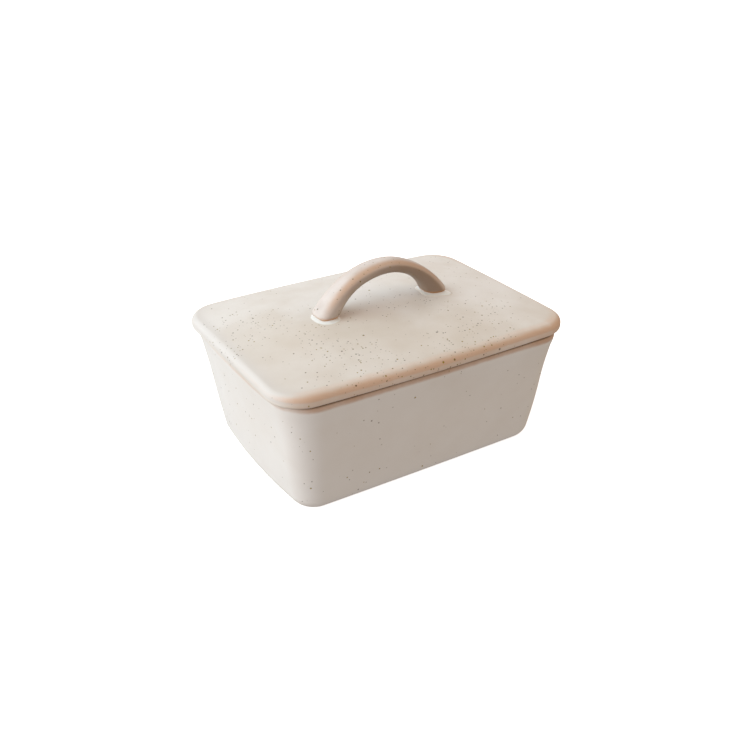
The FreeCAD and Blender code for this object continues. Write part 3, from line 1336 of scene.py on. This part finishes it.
@dataclass
class Studio:
    """A white floor and dome, soft light from the left and the camera.

    Attributes:
        azimuth: the camera's turn about Z, in degrees; 0 looks along +Y.
        elevation: its height above the horizon, in degrees.
        distance: from the target, in metres.
        target: the point that it looks at.
        lens: focal length, in millimetres.
        sky: colour of the light from all round.
        sky_strength: its strength.
        lamps: the soft lamps.
        floor_size: half the floor's side, in metres.
        dome_radius: radius of the white dome round the floor, in metres.
    """

    azimuth: float = -31.77
    elevation: float = 28.51
    distance: float = 0.46457
    target: tuple[float, float, float] = (0.00501, 0.00892, 0.02803)
    lens: float = 42.16
    sky: Colour = (1.0, 0.925, 0.885, 1.0)
    sky_strength: float = 0.458
    lamps: tuple[Lamp, ...] = (
        Lamp("key", (-0.95, 0.45, 0.75), 1.5, 12.5, (0.76, 1.0, 1.13)),
        Lamp("side", (-1.1, 0.0, 0.5), 1.5, 9.6, (1.0, 0.89, 0.875)),
        Lamp("back", (0.5, 1.0, 0.6), 1.2, 2.5, (1.0, 0.85, 0.82)),
        Lamp("fill", (1.0, -0.5, 0.6), 1.0, 2.8, (1.0, 0.64, 0.26)),
    )
    floor_size: float = 4.0
    dome_radius: float = 6.0

    def camera(self) -> None:
        """Adds the camera and makes it the scene's own."""
        a, e = math.radians(self.azimuth), math.radians(self.elevation)
        back = Vector((math.sin(a) * math.cos(e), -math.cos(a) * math.cos(e), math.sin(e)))
        data = bpy.data.cameras.new("camera")
        data.lens = self.lens
        data.sensor_width = 36.0
        camera = bpy.data.objects.new("camera", data)
        camera.location = Vector(self.target) + back * self.distance
        camera.rotation_euler = back.to_track_quat("Z", "Y").to_euler()
        bpy.context.scene.collection.objects.link(camera)
        bpy.context.scene.camera = camera

    def stage_piece(self, name: str, bm: bmesh.types.BMesh, glow: float) -> None:
        """Adds a white part of the stage, which only the camera sees.

        Args:
            name: its name.
            bm: its shape, which is freed.
            glow: its own brightness.
        """
        mesh = bpy.data.meshes.new(name)
        bm.to_mesh(mesh)
        bm.free()
        g = Graph(name)
        g.set("Base Color", (0.8, 0.8, 0.8, 1.0))
        g.set("Roughness", 0.9)
        g.set("Specular IOR Level", 0.0)
        g.set("Emission Color", (1.0, 1.0, 1.0, 1.0))
        g.set("Emission Strength", glow)
        mesh.materials.append(g.material)
        piece = bpy.data.objects.new(name, mesh)
        bpy.context.scene.collection.objects.link(piece)
        piece.visible_diffuse = False
        piece.visible_glossy = False
        piece.visible_transmission = False
        piece.visible_shadow = False

    def surroundings(self) -> None:
        """Adds the floor, with only a trace of shadow, and the white dome round it."""
        floor = bmesh.new()
        bmesh.ops.create_grid(floor, x_segments=1, y_segments=1, size=self.floor_size)
        bmesh.ops.translate(floor, verts=floor.verts, vec=(0.0, 0.0, -0.05 * MM))
        self.stage_piece("floor", floor, 0.75)
        dome = bmesh.new()
        bmesh.ops.create_uvsphere(dome, u_segments=32, v_segments=16, radius=self.dome_radius)
        self.stage_piece("dome", dome, 1.1)

    def build(self) -> None:
        """Adds everything round the crock."""
        scene = bpy.context.scene
        scene.view_settings.view_transform = "Standard"
        world = bpy.data.worlds.new("studio")
        world.use_nodes = True
        back = world.node_tree.nodes["Background"]
        back.inputs["Color"].default_value = self.sky
        back.inputs["Strength"].default_value = self.sky_strength
        scene.world = world
        self.surroundings()
        for lamp in self.lamps:
            lamp.build()
        self.camera()


def main() -> None:
    """Builds the crock, the lid and the handle, then the studio."""
    logging.basicConfig(level=logging.INFO, format="%(message)s")
    crock_glaze = Glaze(Slot.CROCK_GLAZE.value, (0.80, 0.775, 0.73, 1.0), (0.74, 0.695, 0.63, 1.0),
                        tan=(0.50, 0.28, 0.155, 1.0), busy=0.11, quiet=0.03)
    lid_glaze = Glaze(Slot.LID_GLAZE.value, (0.83, 0.80, 0.75, 1.0), (0.67, 0.60, 0.51, 1.0),
                      tan=(0.65, 0.41, 0.26, 1.0), busy=0.85, quiet=0.04, front_specks_and_shade=0.9)
    # The handle's shade colour is painted shade on its sides.
    handle_glaze = Glaze("handle_glaze", (0.76, 0.69, 0.635, 1.0), (0.285, 0.205, 0.15, 1.0),
                         shade=(0.285, 0.205, 0.15, 1.0), tan=(0.54, 0.335, 0.205, 1.0),
                         line=(0.50, 0.24, 0.09, 1.0),
                         busy=0.14, quiet=0.05)
    crock = Crock()
    crock.build(crock_glaze)
    lid = Lid(crock)
    lid.build_slab(lid_glaze)
    lid.build_flange(Clay())
    handle = Handle(lid)
    handle.build_strap(handle_glaze)
    handle.build_pool(-1, "glaze_pool_left", Pool(), "handle_collar_left")
    handle.build_pool(1, "glaze_pool_right", Pool(), "handle_collar_right")
    Studio().build()


if __name__ == "__main__":
    main()
